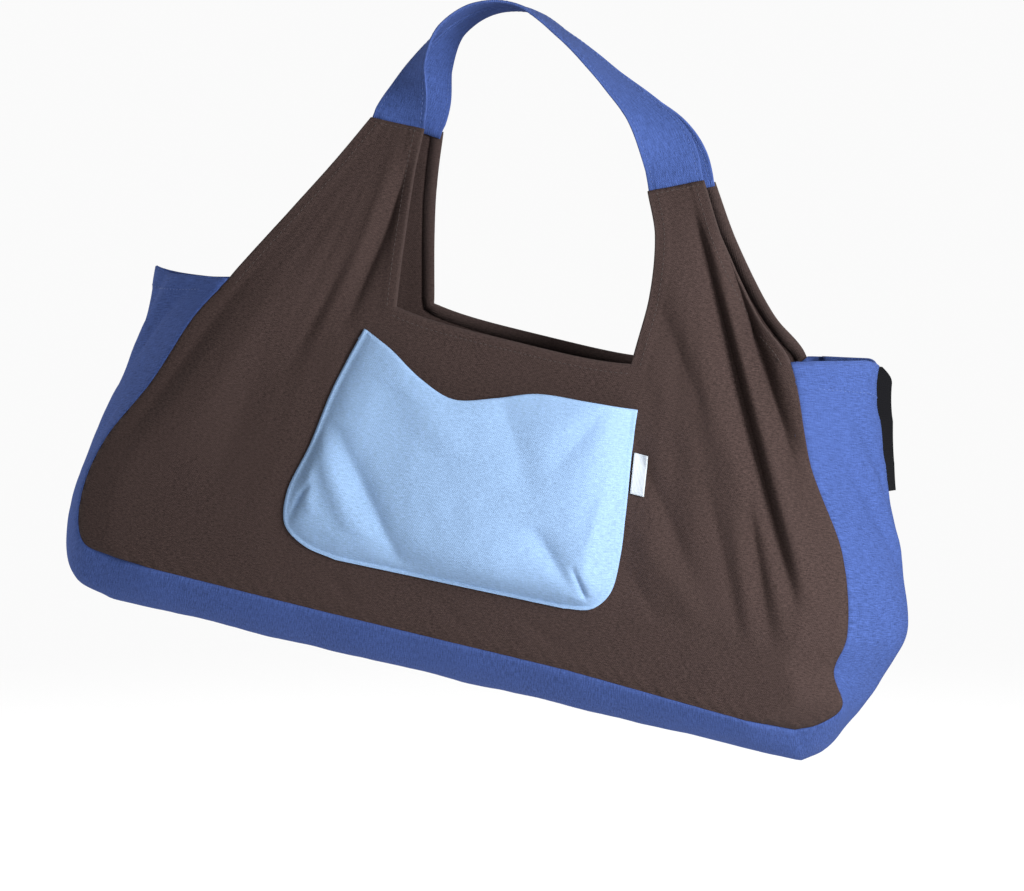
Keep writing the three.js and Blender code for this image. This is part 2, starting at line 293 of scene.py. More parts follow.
# %% Canvas materials
Canvas = namedtuple("Canvas", "slot colour contrast thread slub bump")
CANVASES = [
    Canvas("brown_canvas", (0.051, 0.0335, 0.0305), 0.6, 0.95, 3.4, 0.45),
    Canvas("blue_canvas", (0.053, 0.093, 0.282), 0.5, 0.85, 7.5, 0.5),
    Canvas("sky_canvas", (0.288, 0.440, 0.685), 0.26, 0.95, 5.0, 0.4),
]
CANVAS_ROUGH = 0.92
CLOTH_SHINE = 0.12
WEAVE_BUMP = 0.8
FADE_SHARE = 0.35
WORN_SHARE = 0.6


def start_material(name, roughness, shine=0.5):
    """A new material with its node tree and its main shader."""
    made = bpy.data.materials.new(name.replace("_", " "))
    made.use_nodes = True
    shader = made.node_tree.nodes["Principled BSDF"]
    shader.inputs["Roughness"].default_value = roughness
    shader.inputs["Specular IOR Level"].default_value = shine
    return made, made.node_tree, shader


def shade(colour, share, lift=0.0):
    """A darker or a lighter form of a colour."""
    return tuple(x * share + lift for x in colour)


def mixed(tree, factor, first, second):
    """A colour mix of two colours or sockets. Returns its output."""
    made = add_node(tree, "Mix", data_type="RGBA")
    for socket, value in ((made.inputs[0], factor), (made.inputs[6], first), (made.inputs[7], second)):
        if isinstance(value, (int, float)):
            socket.default_value = value
        elif isinstance(value, tuple):
            socket.default_value = (*value, 1)
        else:
            tree.links.new(value, socket)
    return made.outputs[2]


def canvas(kind):
    """Woven cloth: light and dark threads, slow fading, paler along worn edges, and a bump for the weave."""
    made, tree, cloth = start_material(kind.slot, CANVAS_ROUGH, CLOTH_SHINE)
    sizes = {"Thread": kind.thread, "Slub length": kind.slub}
    weave = add_node(tree, "Group", node_tree=WEAVE, inputs=sizes)
    place = add_node(tree, "UVMap", uv_map="cloth")
    worn = add_node(tree, "Attribute", attribute_name="worn")
    relief = add_node(tree, "Bump", inputs={"Strength": WEAVE_BUMP, "Distance": kind.bump / 1000})
    dark, light = shade(kind.colour, 1 - kind.contrast), shade(kind.colour, 1 + kind.contrast)
    threads = mixed(tree, weave.outputs["Tone"], dark, light)
    fading = math_node(tree, "MULTIPLY", weave.outputs["Fade"], FADE_SHARE)
    faded = mixed(tree, fading, threads, shade(kind.colour, 1.12))
    wearing = math_node(tree, "MULTIPLY", worn.outputs["Fac"], WORN_SHARE)
    edged = mixed(tree, wearing, faded, shade(kind.colour, 1.3, 0.02))
    join(
        tree,
        (place.outputs[0], weave.inputs["Place"]),
        (weave.outputs["Height"], relief.inputs["Height"]),
        (relief.outputs[0], cloth.inputs["Normal"]),
        (edged, cloth.inputs["Base Color"]),
    )
    return made


MATERIALS = {kind.slot: canvas(kind) for kind in CANVASES}
print("canvases", list(MATERIALS))


# %% Webbing, label and thread materials
BAND_ROUGH = 0.8
RIB_DEPTH = 0.0002
RIB_BUMP = 0.6
WALE_TURNS = 0.7
WALE_WEIGHT = 0.6
THREAD_ROUGH = 0.75
TWIST_SCALE = 900.0


def ribbed(slot, colour, pitch):
    """A flat woven band: fine ribs with small breaks, from its place on the cloth, with painted shade in its
    grooves.
    """
    made, tree, band = start_material(slot, BAND_ROUGH, CLOTH_SHINE)
    place = add_node(tree, "UVMap", uv_map="cloth")
    parts = add_node(tree, "SeparateXYZ")
    turns = 2000 * math.pi / pitch
    ribs = math_node(tree, "SINE", math_node(tree, "MULTIPLY", parts.outputs[1], turns))
    wales = math_node(tree, "SINE", math_node(tree, "MULTIPLY", parts.outputs[0], WALE_TURNS * turns))
    height = math_node(tree, "ADD", ribs, math_node(tree, "MULTIPLY", wales, WALE_WEIGHT))
    relief = add_node(tree, "Bump", inputs={"Strength": RIB_BUMP, "Distance": RIB_DEPTH})
    # The colour follows the rib height: painted shade in the grooves between ribs, painted light on the rib
    # tops.
    share = add_node(tree, "MapRange", inputs={1: -1 - WALE_WEIGHT, 2: 1 + WALE_WEIGHT})
    tone = mixed(tree, share.outputs[0], shade(colour, 0.8), shade(colour, 1.15))
    join(
        tree,
        (place.outputs[0], parts.inputs[0]),
        (height, relief.inputs["Height"]),
        (height, share.inputs[0]),
        (tone, band.inputs["Base Color"]),
        (relief.outputs[0], band.inputs["Normal"]),
    )
    return made


def thread(name, colour):
    """Sewing thread: a small twist in tone along each stitch."""
    made, tree, strand = start_material(name, THREAD_ROUGH)
    coords = add_node(tree, "TexCoord")
    twist = add_node(tree, "TexNoise", inputs={"Scale": TWIST_SCALE, "Detail": 1.0})
    tone = mixed(tree, twist.outputs[0], shade(colour, 0.75), shade(colour, 1.25))
    join(tree, (coords.outputs["Object"], twist.inputs["Vector"]), (tone, strand.inputs["Base Color"]))
    return made


MATERIALS["black_webbing"] = ribbed("black_webbing", (0.0045, 0.0045, 0.006), 1.6)
MATERIALS["white_label"] = ribbed("white_label", (0.66, 0.71, 0.76), 0.8)
THREADS = {
    "brown_canvas": thread("brown thread", (0.060, 0.043, 0.040)),
    "blue_canvas": thread("blue thread", (0.075, 0.128, 0.350)),
    "sky_canvas": thread("sky thread", (0.42, 0.62, 0.86)),
}
print("materials", sorted(m.name for m in bpy.data.materials))


# %% [markdown]
# ## Sizes of the cut pieces
# A sewer would draw these pieces on paper first. The tables are that pattern, in millimetres, for the bag
# held level: x along it to the right, z up from its base, and y to the back. The whole bag is then hung,
# tilted, from the crown of its straps. Curves through a few named points are easier to correct than a mesh.

# %% Pattern
OUT = {"front": -1, "back": 1}
ENDS = ("left", "right")
CLOTH = 1.2
HANG_TILT = math.radians(12.5)
CROWN = Vector((-62, 0, 553.4))
HANG = Matrix.Scale(0.001, 4) @ Matrix.Rotation(HANG_TILT, 4, "Y") @ Matrix.Translation(-CROWN)

Outline = namedtuple("Outline", "step left right left_ridge right_ridge")
OUTLINE = [
    Outline("base", (-290, 39), (292, 38), (-306, -8), (298, 5)),
    Outline("corner", (-317, 44), (309, 47), (-337, 0), (314, 18)),
    Outline("above corner", (-325, 58), (325, 67), (-353, 25), (327, 41)),
    Outline("dent", (-326, 92), (312, 93), (-358, 64), (344, 79)),
    Outline("widest", (-315, 136), (316, 122), (-352, 118), (357, 125)),
    Outline("waist", (-287, 191), (298, 185), (-342, 166), (341, 178)),
    Outline("shoulder", (-263, 252), (258, 248), (-330, 222), (313, 246)),
    Outline("gusset top", (-242, 288), (222, 324), (-329, 278), (288, 338)),
    Outline("lower arm", (-205, 357), (188, 352), None, None),
    Outline("upper arm", (-182, 400), (146, 404), None, None),
    Outline("arm tip", (-162, 441), (118, 449), None, None),
]
DENT = 3
GUSSET_TOP = 7
MOUTH_STEP = GUSSET_TOP / (len(OUTLINE) - 1)
Sides = namedtuple("Sides", "step left right")
MOUTH = [
    Sides("base", (-104, 40), (104, 43)),
    Sides("mouth corner", (-100, 296), (100, 294)),
    Sides("lower arm", (-109, 352), (100, 352)),
    Sides("upper arm", (-115, 400), (92, 398)),
    Sides("arm tip", (-117, 441), (77, 431)),
]
MOUTH_DIP = 5
Standoff = namedtuple("Standoff", "z front back")
STANDOFF = [
    Standoff(20, 80, 78),
    Standoff(110, 92, 84),
    Standoff(200, 87, 76),
    Standoff(290, 72, 62),
    Standoff(365, 52, 46),
    Standoff(445, 33, 33),
]
Turn = namedtuple("Turn", "reach slope")
TURN = {"left": Turn(30, 0.22), "right": Turn(36, 0.5)}
TURN_SOFT = 2.5
TURN_FADE = (150, 290)
print("pattern", len(OUTLINE), "steps")

# %% Folds
Fold = namedtuple("Fold", "name top foot bow half rise")
FRONT_FOLDS = [
    Fold("main valley", (110, 436), (277, 130), -1, 9, -12),
    Fold("main crease", (116, 424), (269, 144), -1, 3.5, -5),
    Fold("outer ridge", (118, 436), (284, 140), 0, 8, 9),
    Fold("outer valley", (144, 408), (244, 248), 0, 7, -15),
    Fold("inner ridge", (92, 400), (239, 176), 0, 15, 5),
    Fold("inner valley", (104, 352), (172, 262), 0, 7, -2.5),
    Fold("mouth ridge", (92, 340), (166, 226), 0, 11, 1.5),
    Fold("pocket side valley", (106, 250), (194, 134), 0, 8, -3.5),
    Fold("low valley", (178, 224), (238, 100), 0, 7, -2.6),
    Fold("low ridge", (206, 204), (248, 96), 0, 7, 3),
    Fold("second low valley", (210, 230), (262, 100), 0, 6, -3.4),
    Fold("second low ridge", (224, 212), (272, 108), 0, 6, 3.2),
    Fold("left seam valley", (-224, 302), (-298, 136), 0, 12, -4),
    Fold("left ridge", (-186, 346), (-266, 126), 0, 24, 5),
    Fold("left arm valley", (-124, 412), (-150, 270), -6, 14, -5),
    Fold("left arm crease", (-122, 436), (-140, 262), -4, 5, -4),
    Fold("left arm ridge", (-134, 430), (-158, 250), -4, 6, 2.5),
    Fold("left arm second crease", (-146, 340), (-180, 210), 0, 7, -2.5),
    Fold("left middle valley", (-196, 250), (-214, 110), 0, 14, -2),
    Fold("low pocket ridge", (127, 180), (206, 102), 0, 10, 2.5),
    Fold("low pocket valley", (132, 142), (168, 100), 0, 8, -2.5),
    Fold("wrinkle under the pocket, left", (-106, 76), (-80, 52), 0, 5, -1.2),
    Fold("wrinkle under the pocket, middle", (-14, 78), (14, 54), 0, 5, -1.1),
    Fold("wrinkle under the pocket, right", (56, 79), (96, 58), 0, 5, -1.2),
]
BACK_FOLDS = [
    Fold("right ridge", (128, 408), (256, 126), 0, 22, 7),
    Fold("right valley", (102, 396), (206, 126), 0, 20, -6),
    Fold("left ridge", (-150, 408), (-256, 126), 0, 24, 6),
    Fold("left valley", (-126, 396), (-206, 126), 0, 20, -6),
]
FOLDS = {"front": FRONT_FOLDS, "back": BACK_FOLDS}
FOLD_REACH = 4
FOLD_ENDS = 0.7
RIDGE_CRISP = 2
VALLEY_CRISP = 1.35


def fold_rise(folds, x, z):
    """How far all the folds of a table stand out at a place: ridges are round and valleys are creased."""
    total = 0.0
    for fold in folds:
        drop = fold.top[1] - fold.foot[1]
        down = (fold.top[1] - z) / drop
        if not 0 < down < 1:
            continue
        run = fold.foot[0] - fold.top[0]
        middle = fold.top[0] + run * down - fold.bow * 4 * down * (1 - down)
        across = abs(x - middle) * drop / math.hypot(run, drop) / fold.half
        if across < FOLD_REACH:
            crisp = RIDGE_CRISP if fold.rise > 0 else VALLEY_CRISP
            total += fold.rise * math.sin(math.pi * down) ** FOLD_ENDS * math.exp(-(across ** crisp))
    return total


print("folds", len(FRONT_FOLDS), len(BACK_FOLDS))


# %% Curves through the pattern
def curve_point(points, share):
    """A smooth curve through points, read at a share of its steps. Uneven steps don't make it swing wide."""
    last = len(points) - 1
    low = min(int(share * last), last - 1)
    t = share * last - low
    p1, p2 = points[low], points[low + 1]
    p0 = points[low - 1] if low > 0 else 2 * p1 - p2
    p3 = points[low + 2] if low + 2 <= last else 2 * p2 - p1
    d0, d1, d2 = (max((b - a).length, 1e-4) ** 0.5 for a, b in ((p0, p1), (p1, p2), (p2, p3)))
    start = ((p1 - p0) / d0 - (p2 - p0) / (d0 + d1) + (p2 - p1) / d1) * d1
    end = ((p2 - p1) / d1 - (p3 - p1) / (d1 + d2) + (p3 - p2) / d2) * d1
    ends = p1 * (1 + 2 * t) * (1 - t) ** 2 + p2 * (3 - 2 * t) * t ** 2
    return ends + start * t * (1 - t) ** 2 - end * t ** 2 * (1 - t)


def column(rows, name):
    """One column of a table of places, (x, z), as points in the middle plane."""
    places = [getattr(row, name) for row in rows]
    return [Vector((x, 0, z)) for x, z in places]


def read_table(rows, name, along, at):
    """A smooth curve through one column of a table, read at a place along another."""
    places = [getattr(row, along) for row in rows]
    values = [getattr(row, name) for row in rows]
    last = len(rows) - 1
    low = max(0, min(last - 1, sum(place <= at for place in places) - 1))

    def slope(k):
        below, above = max(0, k - 1), min(last, k + 1)
        return (values[above] - values[below]) / (places[above] - places[below])

    run = places[low + 1] - places[low]
    t = max(0.0, min(1.0, (at - places[low]) / run))
    ends = values[low] * (1 + 2 * t) * (1 - t) ** 2 + values[low + 1] * (3 - 2 * t) * t ** 2
    return ends + run * (slope(low) * t * (1 - t) ** 2 - slope(low + 1) * t ** 2 * (1 - t))


def smooth(low, high, at):
    """0 at low, 1 at high, and an S between."""
    t = max(0.0, min(1.0, (at - low) / (high - low)))
    return t * t * (3 - 2 * t)


def bell(distance, width):
    """1 at no distance, and almost 0 from two widths away."""
    return math.exp(-((distance / width) ** 2))


def run_length(point, share, steps):
    """The length of a curve up to a share of it."""
    return sum((point(share * (k + 1) / steps) - point(share * k / steps)).length for k in range(steps))


OUTER = {end: column(OUTLINE, end) for end in ENDS}
RIDGE = {end: column(OUTLINE[: GUSSET_TOP + 1], end + "_ridge") for end in ENDS}
MOUTH_LINE = {end: column(MOUTH, end) for end in ENDS}


@lru_cache(maxsize=None)
def outer_edge(end, v):
    """The seam of a panel from its base to the mouth's height, then the outer edge of an arm."""
    return curve_point(OUTER[end], v)


@lru_cache(maxsize=None)
def inner_edge(end, v):
    """The line from the base to a mouth corner, then up the inner edge of an arm."""
    if v >= MOUTH_STEP:
        return curve_point(MOUTH_LINE[end][1:], min(1, (v - MOUTH_STEP) / (1 - MOUTH_STEP)))
    low, now, high = (outer_edge(end, share).z for share in (0, v, MOUTH_STEP))
    return MOUTH_LINE[end][0].lerp(MOUTH_LINE[end][1], (now - low) / (high - low))


def base_edge(share):
    """The lower edge of a panel at a share of its length: its left flank, its middle and its right flank."""
    stops = [OUTER["left"][0], MOUTH_LINE["left"][0], MOUTH_LINE["right"][0], OUTER["right"][0]]
    x = stops[0].x + share * (stops[-1].x - stops[0].x)
    part = min(2, sum(x > stop.x for stop in stops[1:]))
    low, high = stops[part], stops[part + 1]
    return low.lerp(high, (x - low.x) / (high.x - low.x))


print("curves", outer_edge("right", 0.5).to_tuple(1), inner_edge("left", 0.85).to_tuple(1))


# %% [markdown]
# ## Cloth
# Each piece is one layer of cloth: a grid bent into place, given its thickness by a Solidify modifier. A
# cloth simulation could drape it, but the photograph fixes where the folds lie, so they are drawn. Free
# edges are folded under as hems, and each grid point keeps its place on the flat cloth for the weave.

# %% Cloth builder
Spot = namedtuple("Spot", "where cloth worn swell hem")
WELD = 0.01
TREES = {}


def grid_patch(bm, columns, rows, place):
    """A grid of columns by rows, each point of it put where place(u, v) says."""
    before = set(bm.verts)
    bmesh.ops.create_grid(bm, x_segments=columns, y_segments=rows, size=0.5)
    cloth = bm.verts.layers.float_vector["cloth"]
    worn = bm.verts.layers.float["worn"]
    swell = bm.verts.layers.float["swell"]
    hem = bm.verts.layers.int["hem"]
    for vert in bm.verts:
        if vert in before:
            continue
        spot = place(round(vert.co.x + 0.5, 6), round(vert.co.y + 0.5, 6))
        vert.co = spot.where
        vert[cloth] = (spot.cloth[0] / 1000, spot.cloth[1] / 1000, 0)
        vert[worn] = spot.worn
        vert[swell] = spot.swell
        vert[hem] = spot.hem


def start_cloth():
    """An empty mesh with the layers that cloth needs."""
    bm = bmesh.new()
    bm.verts.layers.float_vector.new("cloth")
    bm.verts.layers.float.new("worn")
    bm.verts.layers.float.new("swell")
    bm.verts.layers.int.new("hem")
    return bm


def swell_out(bm):
    """Moves each point out along the cloth's normal by its own swell."""
    bm.normal_update()
    swell = bm.verts.layers.float["swell"]
    moves = [(vert, vert.normal * vert[swell]) for vert in bm.verts]
    for vert, move in moves:
        vert.co += move


HEM = 1
SEAM = 2
EDGE_TURNS = {HEM: [(-0.3, 0.7), (0.3, 1.4), (9, 1.5)], SEAM: [(0.6, 1.2), (1.0, 9)]}


def fold_edges(bm):
    """Turns the marked edges in: hems lie under the cloth, seam allowances stand inside the bag."""
    bm.normal_update()
    hem = bm.verts.layers.int["hem"]
    rim = [e for e in bm.edges if e.is_boundary]
    chosen = {kind: [e for e in rim if e.verts[0][hem] & e.verts[1][hem] & kind] for kind in EDGE_TURNS}
    for kind, edges in chosen.items():
        if edges:
            turn_in(bm, edges, EDGE_TURNS[kind], kind == SEAM)


def turn_in(bm, edges, turns, along_panel):
    """Extrudes edges by steps, each (along the cloth, inside it or along a panel) from where the edge was."""
    cloth = bm.verts.layers.float_vector["cloth"]
    ways = {}
    for edge in edges:
        face = edge.link_faces[0]
        middle = (edge.verts[0].co + edge.verts[1].co) / 2
        heading = (edge.verts[1].co - edge.verts[0].co).normalized()
        inward = face.calc_center_median() - middle
        inward -= heading * inward.dot(heading)
        past = (edge.verts[0][cloth] + edge.verts[1][cloth]) / 2
        past -= sum((vert[cloth] for vert in face.verts), Vector()) / len(face.verts)
        for vert in edge.verts:
            way = ways.setdefault(vert, {
                "start": vert.co.copy(),
                "normal": vert.normal.copy(),
                "cloth": vert[cloth].copy(),
                "inward": Vector(),
                "past": Vector(),
            })
            way["inward"] += inward.normalized()
            way["past"] += past.normalized()
    if along_panel:
        for way in ways.values():
            way["normal"].y = 0
            way["normal"].normalize()
    sources = {vert: vert for vert in ways}
    reached = 0.0
    last = (0.0, 0.0)
    for along, inside in turns:
        reached += math.hypot(along - last[0], inside - last[1])
        last = (along, inside)
        made = bmesh.ops.extrude_edge_only(bm, edges=edges)["geom"]
        new = [x for x in made if isinstance(x, bmesh.types.BMVert)]
        fresh = set(new)
        following = {}
        for vert in new:
            old = next(e.other_vert(vert) for e in vert.link_edges if e.other_vert(vert) not in fresh)
            source = sources[old]
            way = ways[source]
            vert.co = way["start"] + way["inward"].normalized() * along - way["normal"] * inside
            vert[cloth] = way["cloth"] + way["past"].normalized() * (reached / 1000)
            following[vert] = source
        sources = following
        edges = [x for x in made if isinstance(x, bmesh.types.BMEdge) and fresh.issuperset(x.verts)]


def finish_cloth(bm, name, slot, thickness):
    """Hangs the piece, maps its weave, gives it thickness and its material."""
    bmesh.ops.transform(bm, matrix=HANG, verts=bm.verts)
    cloth = bm.verts.layers.float_vector["cloth"]
    uv = bm.loops.layers.uv.new("cloth")
    for face in bm.faces:
        face.smooth = True
        for loop in face.loops:
            loop[uv].uv = loop.vert[cloth].xy
    mesh = bpy.data.meshes.new(name)
    bm.to_mesh(mesh)
    made = add_object(name, mesh)
    mesh.materials.append(MATERIALS[slot])
    if thickness:
        wall = made.modifiers.new("wall", "SOLIDIFY")
        wall.thickness = thickness / 1000
        wall.offset = 0
    area = sum(face.calc_area() for face in bm.faces)
    print(name, len(bm.verts), "points", round(area, 4), "m2")
    bm.free()
    return made


def cloth_piece(name, slot, thickness, *patches):
    """A piece of cloth from patches of (columns, rows, place). With no thickness it is a closed tube."""
    bm = start_cloth()
    for patch in patches:
        grid_patch(bm, *patch)
    bmesh.ops.remove_doubles(bm, verts=bm.verts, dist=WELD)
    if not thickness:
        bmesh.ops.holes_fill(bm, edges=[e for e in bm.edges if e.is_boundary], sides=0)
        bmesh.ops.recalc_face_normals(bm, faces=bm.faces)
    swell_out(bm)
    TREES[name] = BVHTree.FromBMesh(bm)
    fold_edges(bm)
    return finish_cloth(bm, name, slot, thickness)


print("hem turns", EDGE_TURNS[HEM])


# %% [markdown]
# ## The two panels
# Each panel is one cut of brown canvas: wide at the base, then two arms with the scooped mouth between. It
# hangs from the arm tips, so slack falls in long slanting folds below the right arm. A panel is built as
# two flanks and a middle, welded, so that the grid runs along the edges of the cut.

# %% Panel shape
Ripple = namedtuple("Ripple", "seed coarse fine")
RIPPLES = {
    "panel": Ripple(3, 0.8, 0.3),
    "gusset": Ripple(11, 1.8, 0.4),
    "pocket": Ripple(23, 1.6, 0.35),
    "front strap": Ripple(32, 0.5, 0.15),
    "back strap": Ripple(30, 0.5, 0.15),
}
Fan = namedtuple("Fan", "tip start full height seed")
FANS = [Fan((104, 462), 60, 130, 0.9, 5), Fan((-138, 462), -110, -150, 0.8, 9)]
FAN_GROWS = (50, 150)
FAN_FADES = (300, 420)
TIP_FLAT = (440, 400)
SLACK_LEAST = 0.55
SLACK_GROWS = (-60, 160)


def ripple(piece, x, z):
    """Soft unevenness of hanging cloth."""
    seed, coarse, fine = RIPPLES[piece]
    slow = noise.noise(Vector((x / 48, z / 62, seed)))
    quick = noise.noise(Vector((x / 15, z / 19, seed + 7)))
    return coarse * slow + fine * quick


def fan_rise(fan, x, z):
    """Small wrinkles that spread down from an arm tip."""
    run, drop = x - fan.tip[0], fan.tip[1] - z
    far = math.hypot(run, drop)
    angle = math.atan2(run, drop)
    reach = smooth(*FAN_GROWS, far) * (1 - smooth(*FAN_FADES, far))
    return reach * noise.noise(Vector((angle * 17, far / 130, fan.seed)))


def panel_depth(side, x, z, from_left, from_right):
    """A panel's distance from the middle plane: its standoff, less its turn at the seams, plus its folds."""
    fade = 1 - smooth(*TURN_FADE, z)
    turned = 0.0
    for turn, distance in ((TURN["left"], from_left), (TURN["right"], from_right)):
        past = turn.reach - distance
        turned += 0.5 * turn.slope * fade * (past + math.hypot(past, TURN_SOFT))
    folds = fold_rise(FOLDS[side], x, z) * smooth(*TIP_FLAT, z)
    slack = SLACK_LEAST + (1 - SLACK_LEAST) * smooth(*SLACK_GROWS, x)
    folds += slack * ripple("panel", x, z)
    for fan in FANS:
        folds += fan.height * smooth(fan.start, fan.full, x) * fan_rise(fan, x, z)
    return read_table(STANDOFF, side, "z", z) - turned + folds


def front_face(x, z):
    """The middle of the front panel's wall, away from its seams, for what is sewn on there."""
    row = OUTLINE[DENT]
    return -panel_depth("front", x, z, x - row.left[0], row.right[0] - x)


def flat_panel_point(part, u, v):
    """A place on a panel before it bulges, in its left flank, its middle or its right flank."""
    if part == "left":
        return outer_edge("left", v).lerp(inner_edge("left", v), u)
    if part == "right":
        return inner_edge("right", v).lerp(outer_edge("right", v), u)
    place = inner_edge("left", v).lerp(inner_edge("right", v), u)
    place.z -= MOUTH_DIP * (v / MOUTH_STEP) ** 3 * (1 - (2 * u - 1) ** 4)
    return place


def panel_point(side, part, u, v):
    """A place on a panel's bulging wall."""
    place = flat_panel_point(part, u, v)
    from_left = place.x - outer_edge("left", v).x
    from_right = outer_edge("right", v).x - place.x
    place.y = OUT[side] * panel_depth(side, place.x, place.z, from_left, from_right)
    return place


def line(point, count):
    """A run of points along a share from 0 to 1."""
    return [point(k / count) for k in range(count + 1)]


def near_tree(points):
    """Finds how far a place is from a run of points."""
    tree = KDTree(len(points))
    for k, point in enumerate(points):
        tree.insert(point, k)
    tree.balance()
    return tree


def up_arm(end, edge, top):
    """A share to a place up one edge of an arm, from the mouth's height to a top step."""
    return lambda s: edge(end, round(MOUTH_STEP + (top - MOUTH_STEP) * s, 6)).copy()


SEAM_LINE = line(lambda s: outer_edge("left", MOUTH_STEP * (1 - s)).copy(), 220)
SEAM_LINE += line(base_edge, 300)
SEAM_LINE += line(lambda s: outer_edge("right", MOUTH_STEP * s).copy(), 220)
SEAM_TREE = near_tree(SEAM_LINE)
HEM_LINE = line(lambda s: flat_panel_point("middle", s, MOUTH_STEP), 120)
for end in ENDS:
    for edge in (outer_edge, inner_edge):
        HEM_LINE += line(up_arm(end, edge, 1), 100)
HEM_TREE = near_tree(HEM_LINE)
print("seam points", len(SEAM_LINE), "hem points", len(HEM_LINE))

# %% Panels
ROWS_PER_STEP = 14
Columns = namedtuple("Columns", "left middle right")
PANEL_COLUMNS = {"front": Columns(64, 60, 92), "back": Columns(44, 40, 44)}
SEAM_ROLL = 1.3
ROLL_WIDTH = 4
HEM_LIFT = 0.7
HEM_BAND = (9, 13)
PANEL_PUCKER = 0.5
PUCKER_PITCH = 15
PUCKER_REACH = 11
WORN = 0.4


def pucker(height, along, seam):
    """The gathers beside a seam: a small wave along it that dies away from it."""
    wave = height * math.sin(2 * math.pi * along / PUCKER_PITCH)
    return wave * math.exp(-seam / PUCKER_REACH) * smooth(0, 3, seam)


def panel_spot(side, part, u, v):
    """One point of a panel, rolled in and puckered at its seams, a little raised at its hems."""
    flat = flat_panel_point(part, u, v)
    where = panel_point(side, part, u, v)
    seam = SEAM_TREE.find(flat)[2]
    hem = HEM_TREE.find(flat)[2]
    swell = -SEAM_ROLL * bell(seam, ROLL_WIDTH) + pucker(PANEL_PUCKER, flat.x + flat.z, seam)
    swell += HEM_LIFT * (1 - smooth(*HEM_BAND, hem))
    on_top = v >= MOUTH_STEP - 1e-4
    free = on_top and (part == "middle" or u in (0.0, 1.0))
    return Spot(where, (flat.x, flat.z), WORN * bell(hem, 2), swell, HEM if free else 0)


def panel(side):
    """A panel from its three patches, turned so that its outer face looks out."""
    rows = ROWS_PER_STEP * (len(OUTLINE) - 1)

    def patch(part, height):
        def place(u, v):
            across = u if side == "front" else 1 - u
            return panel_spot(side, part, round(across, 6), round(v * height, 6))

        return getattr(PANEL_COLUMNS[side], part), round(rows * height), place

    patches = [patch("left", 1), patch("middle", MOUTH_STEP), patch("right", 1)]
    return cloth_piece(side + "_panel_cloth", "brown_canvas", CLOTH, *patches)


front_panel = panel("front")
back_panel = panel("back")

# %% [markdown]
# ## The gusset
# One long strip of blue slubby canvas runs down the left end, along the base and up the right end. It is
# pushed out between its two seams, most along a soft ridge. Its two top rims are hemmed: the left one sags
# beside its ridge, and the right one droops at its ridge, with a dent below.

# %% Gusset shape
BASE_SHARE = 0.31
END_SHARE = (1 - BASE_SHARE) / 2
ROUND_LEAST = 1.6
ROUND_MORE = 0.6
RIM_DROOP = 4.5
DROOP_FROM = 0.94
DROOP_REACH = 0.35
RIM_SAG = (3.3, 5.5)
SAG_TO = 0.06


@lru_cache(maxsize=None)
def gusset_row(share):
    """Both seams, the ridge and the roundness at a share of the strip, from the left rim to the right."""
    on_base = max(0.0, min(1.0, (share - END_SHARE) / BASE_SHARE))
    end = "left" if on_base < 0.5 else "right"
    up = max(0.0, (END_SHARE - share) / END_SHARE, (share - 1 + END_SHARE) / END_SHARE)
    seams = []
    for side in OUT:
        if up > 0:
            spot = panel_point(side, end, ENDS.index(end), round(up * MOUTH_STEP, 6))
        else:
            spot = base_edge(on_base)
            from_left = spot.x - OUTER["left"][0].x
            from_right = OUTER["right"][0].x - spot.x
            spot.y = OUT[side] * panel_depth(side, spot.x, spot.z, from_left, from_right)
        seams.append(spot)
    if up > 0:
        ridge = curve_point(RIDGE[end], up)
    else:
        ridge = RIDGE["left"][0].lerp(RIDGE["right"][0], on_base)
    return *seams, ridge, ROUND_LEAST + ROUND_MORE * (1 - up) ** 3


def gusset_point(share, across):
    """A point of the gusset, at a share along it and across it: -1 is the front seam and 1 the back."""
    front, back, ridge, roundness = gusset_row(share)
    push = ridge - (front + back) / 2
    where = front.lerp(back, (1 + across) / 2) + push * (1 - abs(across) ** roundness)
    where.z -= RIM_DROOP * smooth(DROOP_FROM, 1, share) * (1 - smooth(0, DROOP_REACH, abs(across)))
    where.z -= RIM_SAG[across > 0] * smooth(SAG_TO, 0, share) * math.sin(math.pi * abs(across))
    return where


@lru_cache(maxsize=None)
def gusset_length(share):
    """How far along the strip a share is, for the weave."""
    return run_length(lambda s: gusset_row(s)[2], share, 40)


print("gusset length", round(gusset_length(1.0)))

# %% Gusset
GUSSET_GRID = (300, 46)
SEAM_AT = 0.989
CLOTH_HALF = 90
SEAM_FAR = 85
RIM_FAR = 1000
RIM_BAND = (12, 16)
HEM_REACH = 0.88
GUSSET_ROLL = 0.6
GUSSET_PUCKER = 0.45

END_FOLDS = [
    Fold("slanting crease", (-72, 282), (-8, 165), 0, 6, -3.5),
    Fold("slanting ridge", (-64, 304), (0, 185), 0, 7, 2),
    Fold("second crease", (-52, 312), (-4, 222), 0, 5, -2.5),
    Fold("low crease", (-66, 170), (-24, 70), 0, 9, -2.5),
    Fold("back crease", (60, 300), (20, 190), 0, 9, -3),
]
RIGHT_RIM_FOLDS = [
    Fold("dent below the rim", (12, 338), (12, 290), 0, 18, -7),
    Fold("lower dent", (12, 330), (12, 256), 0, 18, -4),
]


